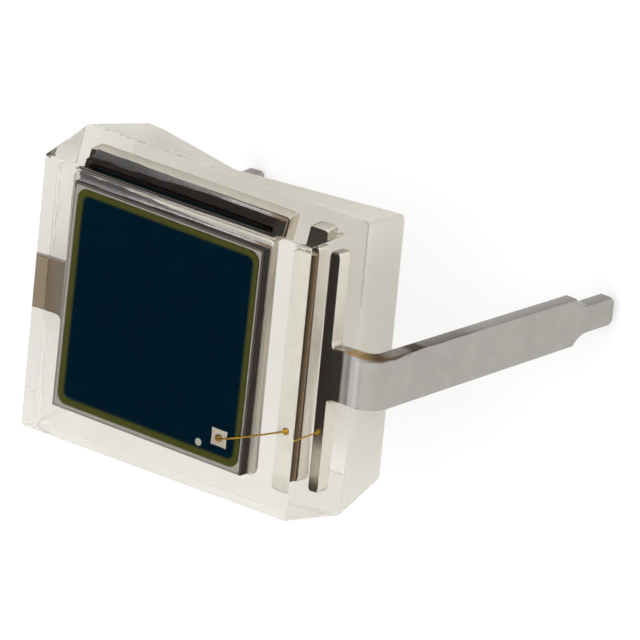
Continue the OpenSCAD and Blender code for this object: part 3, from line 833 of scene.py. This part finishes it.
class PHOTODIODE_OT_chip(bpy.types.Operator):
    """Finish the chip and its adhesive, and make the films on its face."""

    bl_idname = "photodiode.chip"
    bl_label = "Chip and Films"

    def execute(self, context):
        p = context.scene.photodiode_chip
        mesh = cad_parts["silicon_chip"].data
        mesh.materials.clear()
        mesh.materials.append(sawn_silicon(p))
        bead = bead_points(p)
        add_piece("adhesive_bead", bead, tube_faces(*bead.shape[:2]), silver_adhesive(p), ["die_attach"],
                  sharp=50)

        rim_half = p.side / 2 - p.street
        oxide_half = p.side / 2 - p.rim_width
        active_half = oxide_half - p.ring_width
        rim = film_hoop(rim_half, p.pad_corner, oxide_half, p.ring_corner, p.turn, RIM_LO, RIM_HI)
        oxide = film_hoop(oxide_half, p.ring_corner, active_half, p.active_corner, p.turn, OXIDE_LO, OXIDE_HI)
        active = film_plate((active_half, active_half), p.active_corner, COATING_ROUND, p.turn, ACTIVE_LO,
                            ACTIVE_HI)
        pad = film_plate((p.pad_length / 2, p.pad_width / 2), p.pad_corner, PAD_ROUND, p.turn, PAD_LO, PAD_HI,
                         waist=PAD_WAIST)
        dot = film_plate((p.dot_radius, p.dot_radius), p.dot_radius, PAD_ROUND, p.turn, DOT_LO,
                         DOT_HI + Vector((0, 0, DOT_RISE)))
        rows, columns = rim.shape[:2]
        hoop, plate = grid_quads(rows, columns, rows), tube_faces(*pad.shape[:2])
        border = (ACTIVE_LO, ACTIVE_HI, p.turn, active_half - p.border / 3, p.active_corner, p.border,
                  p.oxide)
        for name, points, faces, cad, slot, look in (
                # Bare metal from the vapour: a satin grey line
                ("metal_rim", rim, hoop, "edge_metal", "edge_metal",
                 chip_film("evaporated_aluminium_rim", p.rim, p.rim, metallic=1.0, roughness=0.4, gloss=0.5,
                           grain=0.08, contrast=0.12)),
                # Glassy and thin, so it shows one colour of the light: olive, painted almost black at a slant
                # as painted shade
                ("oxide_frame", oxide, hoop, "oxide_ring", "oxide",
                 chip_film("thermal_oxide", p.coating, p.oxide_painted_slant_shade, metallic=0.0, roughness=0.3, gloss=0.05,
                           grain=0.25, contrast=0.12, border=border)),
                # Made to swallow light: a deep even blue-green that blends into the oxide, painted almost
                # black at a slant as painted shade
                ("light_window", active, plate, "active_film", "active_film",
                 chip_film("nitride_coated_silicon", p.coating, dark(p.coating, 0.02), metallic=0.0,
                           roughness=0.25, gloss=0.0, grain=0.25, contrast=0.08, border=border)),
                # Soft bare metal: a pale matt square
                ("wire_pad", pad, plate, "bond_pad", "pad_metal",
                 chip_film("sputtered_aluminium_pad", p.pad, p.pad, metallic=1.0, roughness=0.5, gloss=0.5,
                           grain=0.04, contrast=0.08)),
                # The same metal, scratched by the tester's needle: a duller, greenish spot
                ("test_dot", dot, plate, "probe_dot", "pad_metal",
                 chip_film("probed_aluminium_dot", p.dot, p.dot, metallic=0.6, roughness=0.5, gloss=0.5,
                           grain=0.02, contrast=0.15))):
            add_piece(name, points, faces, look, [cad], sharp=40)
        return {"FINISHED"}


# Points that draw the wire's curve, as shares of its span and of its loop's height, then the shares of the
# span at which it lies down on the bar
LOOP_POINTS = np.array([(0, 0), (0, 0.7), (0, 1.35), (0.3, 1.1), (0.5, 0.9), (0.72, 0.1)])
LYING = (0.86, 0.93)
# How high the wire's middle lies over the bar, as a share of the second bond's height, how far the ball is
# drawn out along the wire, as a share of its height, and the share of its width that the wire's end keeps
LYING_HEIGHT, BALL_REACH, WIRE_END = 0.4, 0.6, 0.02
# Where along the curve the wire is drawn, with close steps on the ball and on the second bond
WIRE_STEPS = np.concatenate([np.linspace(0, 0.1, 30), np.linspace(0.1, 0.88, 70)[1:],
                             np.linspace(0.88, 1, 30)[1:]])
WIRE_SIDES = 24


def wire_points(p):
    """The bond wire as an oval section carried along one curve of the eighth degree in an upright plane.
    The curve rises from the pad, leans over into a low loop and lies down on the bar. The section's half
    width and half height swell to a ball at the start, sink to the wire and flatten to the second bond."""
    start = np.array([(PAD_LO.x + PAD_HI.x) / 2, (PAD_LO.y + PAD_HI.y) / 2, PAD_HI.z])
    bar_x = ANODE_LO.x + bpy.context.scene.photodiode_leads.bar_length / 2
    landing = np.array([bar_x, WIRE_HI.y - p.stitch, ANODE_HI.z])
    span = math.hypot(*(landing - start)[:2])
    low = landing[2] - start[2] + p.stitch_height * LYING_HEIGHT
    control = np.concatenate([LOOP_POINTS * [span, p.loop], [(lie * span, low) for lie in LYING],
                              [(span + p.stitch, low)]])
    t, powers = WIRE_STEPS, np.arange(len(control))
    degree = len(control) - 1
    choose = np.array([math.comb(degree, i) for i in powers])
    path = choose * t[:, None] ** powers * (1 - t[:, None]) ** (degree - powers) @ control
    tangent = np.gradient(path, t, axis=0)
    tangent /= np.linalg.norm(tangent, axis=1, keepdims=True)

    walked = np.concatenate([[0], np.cumsum(np.linalg.norm(np.diff(path, axis=0), axis=1))])
    left = walked[-1] - walked
    past_ball = (walked - p.ball_height / 2) / (BALL_REACH * p.ball_height)
    ball = p.ball * np.sqrt(np.clip(1 - past_ball ** 2, 0, 1))
    bond = np.sqrt(np.clip(1 - ((left - p.stitch) / p.stitch) ** 2, WIRE_END ** 2, 1))
    wire = np.maximum(p.diameter / 2, ball)
    last = left < p.stitch
    half_wide = np.where(last, p.stitch * bond, np.maximum(wire, p.stitch * bond * (left < 2 * p.stitch)))
    half_high = np.where(last, p.stitch_height / 2 * bond, wire)

    turn = np.linspace(0, 2 * math.pi, WIRE_SIDES, endpoint=False)
    way_x, way_y = (landing - start)[:2] / span
    aside = half_wide[:, None] * np.cos(turn)
    above = half_high[:, None] * np.sin(turn)
    run = path[:, 0:1] - above * tangent[:, 1:2]
    z = path[:, 1:2] + above * tangent[:, 0:1]
    return start + np.stack([run * way_x - aside * way_y, run * way_y + aside * way_x, z], -1)


# Drawing marks are finer than a thousandth of a millimetre, too fine to show, so they are drawn coarser
DRAWING_MARKS = 0.02 * MM


def drawn_gold(p):
    """Fine gold, drawn to wire and bonded with heat: a warm yellow metal with faint drawing marks."""
    made, add = new_material("drawn_gold_wire")
    place = add("TexCoord", out="Object")
    marks = add("TexNoise", {"Vector": place, "Scale": 1 / DRAWING_MARKS, "Detail": 2.0})
    tone = add("ValToRGB", [marks], stops=((0.3, dark(p.gold, 0.8)), (0.7, p.gold)))
    rough = add("MapRange", [marks, 0.3, 0.7, 0.22, 0.36])
    shader = add("BsdfPrincipled", {"Base Color": tone, "Metallic": 1.0, "Roughness": rough})
    add("OutputMaterial", {"Surface": shader}, out=None)
    return made


class PHOTODIODE_OT_wire(bpy.types.Operator):
    """Make the gold bond wire with its ball and second bond."""

    bl_idname = "photodiode.wire"
    bl_label = "Bond Wire"

    def execute(self, context):
        p = context.scene.photodiode_wire
        points = wire_points(p)
        add_piece("gold_wire", points, tube_faces(*points.shape[:2]), drawn_gold(p), ["bond_wire"],
                  sharp=60)
        return {"FINISHED"}


# Soft lights: direction from the block, distance and size in metres, power in watts
LIGHTS = {
    "softbox_above": ((0.15, 0.35, 0.92), 0.3, 0.24, 0.35),
    "softbox_side": ((0.8, 0.45, 0.4), 0.3, 0.2, 0.2),
    "softbox_left": ((-0.85, -0.1, 0.5), 0.3, 0.2, 0.1),
    "softbox_low": ((0.35, -0.85, 0.4), 0.3, 0.2, 0.15),
}
# The way from the block to the camera, the picture's right, how far the picture's middle lies to the right of
# the block's and above it, and the nearest and farthest that the camera sees, in camera distances
TO_CAMERA, TO_RIGHT = Vector((0.55, 0.347, 0.76)), Vector((0.787, 0.091, -0.611))
MIDDLE_RIGHT, MIDDLE_UP = 1.351 * MM, -0.014 * MM
NEAREST, FARTHEST = 0.05, 20
FLOOR_GAP, FLOOR_MOTTLE = 0.01 * MM, 3 * MM
# The room's brightness, and the angles from the card's middle at which it begins and is full
ROOM_LIGHT, CARD_BEGINS, CARD_FULL = 1.15, math.radians(14), math.radians(6)


def studio_floor(p):
    """Opal acrylic sheet, lit from below: matt white with a soft glow and a barely seen mottle."""
    made, add = new_material("opal_acrylic_sheet")
    place = add("TexCoord", out="Object")
    mottle = add("TexNoise", {"Vector": place, "Scale": 1 / FLOOR_MOTTLE, "Detail": 2.0})
    tone = add("ValToRGB", [mottle], stops=((0.3, dark(p.floor, 0.99)), (0.7, p.floor)))
    shader = add("BsdfPrincipled", {"Base Color": tone, "Roughness": 0.9, "Specular IOR Level": 0.0,
                                    "Emission Color": p.glow, "Emission Strength": 1.0})
    add("OutputMaterial", {"Surface": shader}, out=None)
    return made


def pale_room(p, mirrored):
    """An even pale room with one soft-edged dark card where the front face mirrors it to the camera."""
    made = bpy.data.worlds.new("pale_room")
    made.use_nodes = True
    add = partial(node, made.node_tree)
    way = add("TexCoord", out="Generated")
    close = add("VectorMath", [way, mirrored], out="Value", operation="DOT_PRODUCT")
    on_card = add("MapRange", [close, math.cos(CARD_BEGINS), math.cos(CARD_FULL)])
    light = add("Mix", {0: on_card, "A": p.room, "B": p.card}, out=2, data_type="RGBA")
    background = made.node_tree.nodes["Background"].inputs
    made.node_tree.links.new(light, background["Color"])
    background["Strength"].default_value = ROOM_LIGHT
    return made


class PHOTODIODE_OT_stage(bpy.types.Operator):
    """Set up the floor, the soft lights, the room and the camera."""

    bl_idname = "photodiode.stage"
    bl_label = "Stage"

    def execute(self, context):
        scene = context.scene
        p = scene.photodiode_stage
        half, ground = p.floor_size / 2, CAD_BOX[0].z - FLOOR_GAP
        mesh = bpy.data.meshes.new("floor")
        mesh.from_pydata([(-half, -half, ground), (half, -half, ground), (half, half, ground),
                          (-half, half, ground)], [], [(0, 1, 2, 3)])
        mesh.materials.append(studio_floor(p))
        floor = bpy.data.objects.new("floor", mesh)
        scene.collection.objects.link(floor)

        aim = Vector((0, 0, scene.photodiode_block.rear_height))
        for name, (direction, distance, size, power) in LIGHTS.items():
            lamp = bpy.data.lights.new(name, "AREA")
            lamp.shape, lamp.size, lamp.energy = "DISK", size, power
            made = bpy.data.objects.new(name, lamp)
            away = Vector(direction).normalized()
            made.matrix_world = (Matrix.Translation(aim + away * distance)
                                 @ away.to_track_quat("Z", "Y").to_matrix().to_4x4())
            scene.collection.objects.link(made)

        toward = TO_CAMERA.normalized()
        scene.world = pale_room(p, Vector((-toward.x, -toward.y, toward.z)))
        scene.view_settings.view_transform = "Standard"

        right = (TO_RIGHT - TO_RIGHT.dot(toward) * toward).normalized()
        up = toward.cross(right)
        lens = bpy.data.cameras.new("camera")
        lens.lens = lens.sensor_width * p.camera_distance / p.picture_width
        lens.clip_start, lens.clip_end = NEAREST * p.camera_distance, FARTHEST * p.camera_distance
        camera = bpy.data.objects.new("camera", lens)
        place = aim + MIDDLE_RIGHT * right + MIDDLE_UP * up + p.camera_distance * toward
        camera.matrix_world = Matrix.Translation(place) @ Matrix((right, up, toward)).transposed().to_4x4()
        scene.collection.objects.link(camera)
        scene.camera = camera
        return {"FINISHED"}


SETTINGS = {"photodiode_block": BlockSettings, "photodiode_leads": LeadSettings,
            "photodiode_chip": ChipSettings, "photodiode_wire": WireSettings,
            "photodiode_stage": StageSettings}
STEPS = (PHOTODIODE_OT_stage, PHOTODIODE_OT_block, PHOTODIODE_OT_leads, PHOTODIODE_OT_chip,
         PHOTODIODE_OT_wire)


class PHOTODIODE_PT_panel(bpy.types.Panel):
    """Lists the steps and their settings."""

    bl_idname = "PHOTODIODE_PT_panel"
    bl_label = "Photodiode"
    bl_space_type = "VIEW_3D"
    bl_region_type = "UI"
    bl_category = "Photodiode"

    def draw(self, context):
        for step in STEPS:
            box = self.layout.box()
            box.operator(step.bl_idname)
            group = getattr(context.scene, "photodiode_" + step.bl_idname.split(".")[1])
            for name in group.__annotations__:
                box.prop(group, name)


CLASSES = (*SETTINGS.values(), *STEPS, PHOTODIODE_PT_panel)


def register():
    for cls in CLASSES:
        bpy.utils.register_class(cls)
    for name, cls in SETTINGS.items():
        setattr(bpy.types.Scene, name, PointerProperty(type=cls))


def unregister():
    for name in SETTINGS:
        delattr(bpy.types.Scene, name)
    for cls in reversed(CLASSES):
        bpy.utils.unregister_class(cls)


def main():
    """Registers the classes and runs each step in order."""
    register()
    bpy.ops.photodiode.stage()
    bpy.ops.photodiode.block()
    bpy.ops.photodiode.leads()
    bpy.ops.photodiode.chip()
    bpy.ops.photodiode.wire()


if __name__ == "__main__":
    main()
